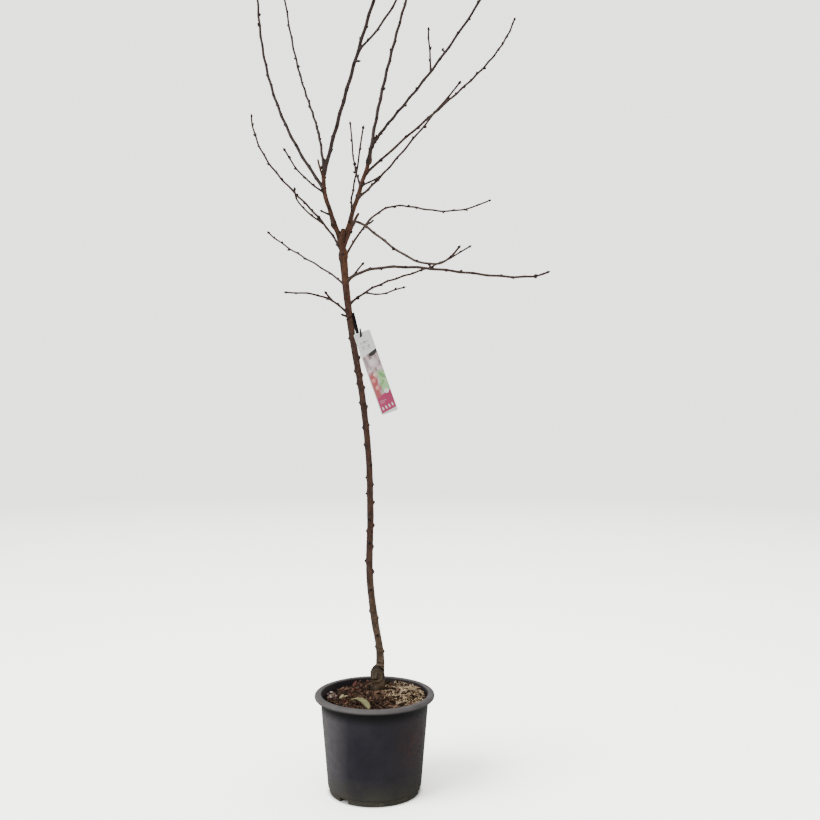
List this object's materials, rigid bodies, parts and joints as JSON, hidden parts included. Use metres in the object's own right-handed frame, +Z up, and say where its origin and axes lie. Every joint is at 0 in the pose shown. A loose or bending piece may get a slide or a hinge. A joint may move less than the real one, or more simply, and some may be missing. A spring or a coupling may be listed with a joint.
{
  "type": "potted peach tree",
  "caption": "Young leafless peach tree with a gently bowed trunk, an old graft knob and long slender upright shoots, rooted in soil in a round tapered nursery pot, with a hanging plastic label.",
  "frame": {"origin": "middle of the pot's flat underside", "axes": "+X to the right of the pictured view, +Y away from its viewer, +Z up the trunk"},
  "size_m": [0.7703, 0.5133, 2.4408],
  "materials": {
    "pot": "matt moulded plastic, dark anthracite",
    "soil": "coarse bark and fibre potting mix",
    "bark": "thin reddish-brown peach bark with a grey bloom",
    "shoots": "smooth dark one-year bark with pointed buds",
    "label": "printed white film",
    "strap": "black plastic band"
  },
  "bodies": {
    "root": {"pot": "pot", "potting_soil": "soil", "trunk": "bark", "left_limb": "bark", "right_limb": "bark", "arch_stem": "bark", "low_left_shoot": "shoots", "low_right_shoot": "shoots", "mid_left_shoot": "shoots", "long_right_shoot": "shoots", "upper_right_shoot": "shoots", "outer_left_shoot": "shoots", "arching_shoot": "shoots", "left_outer_leader": "shoots", "left_back_leader": "shoots", "left_main_leader": "shoots", "left_short_shoot": "shoots", "right_main_leader": "shoots", "right_front_leader": "shoots", "right_outer_leader": "shoots", "right_mid_shoot": "shoots", "inner_back_shoot": "shoots", "inner_front_shoot": "shoots", "label_tag": "label", "label_strap": "strap"}
  },
  "joints": []
}
